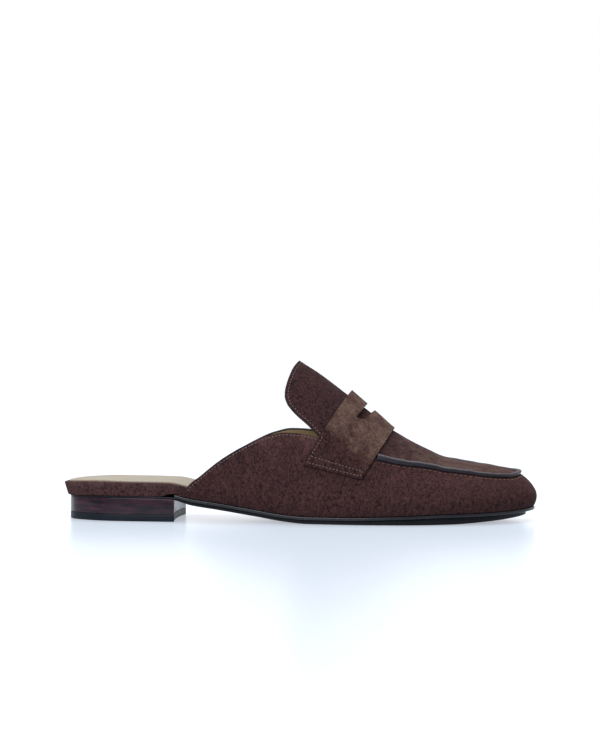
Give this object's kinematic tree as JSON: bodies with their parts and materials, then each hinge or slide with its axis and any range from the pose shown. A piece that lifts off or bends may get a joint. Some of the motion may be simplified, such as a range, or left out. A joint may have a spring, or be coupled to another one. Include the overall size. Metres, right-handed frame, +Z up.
{
  "type": "loafer mule",
  "caption": "Backless loafer for the right foot: hollow upper with tongue, slotted saddle strap and piped seam, on a footbed, rand, outsole and low stacked heel.",
  "frame": {"origin": "centre of the bounding box's bottom, on the ground plane", "axes": "+X from heel to toe, +Y to the inner (medial) side of the foot, +Z up"},
  "size_m": [0.2572, 0.086, 0.0861],
  "materials": {
    "outsole_leather": "dark smooth sole leather, satin",
    "rand_leather": "dark smooth leather edge, satin",
    "heel_stack": "polished dark stacked leather",
    "heel_rubber": "dark rubber top lift, satin",
    "rim_suede": "brown suede wrapped over the board's rim",
    "insole_leather": "smooth beige lining leather",
    "vamp_suede": "dark brown suede",
    "tongue_suede": "dark brown suede",
    "strap_suede": "brown suede with a brushed nap",
    "piping_leather": "smooth dark leather piping"
  },
  "bodies": {
    "root": {"outsole": "outsole_leather", "rand": "rand_leather", "heel_block": "heel_stack", "top_lift": "heel_rubber", "footbed": "rim_suede", "insole": "insole_leather", "upper": "vamp_suede", "tongue": "tongue_suede", "saddle_strap": "strap_suede", "moc_piping": "piping_leather"}
  },
  "joints": []
}
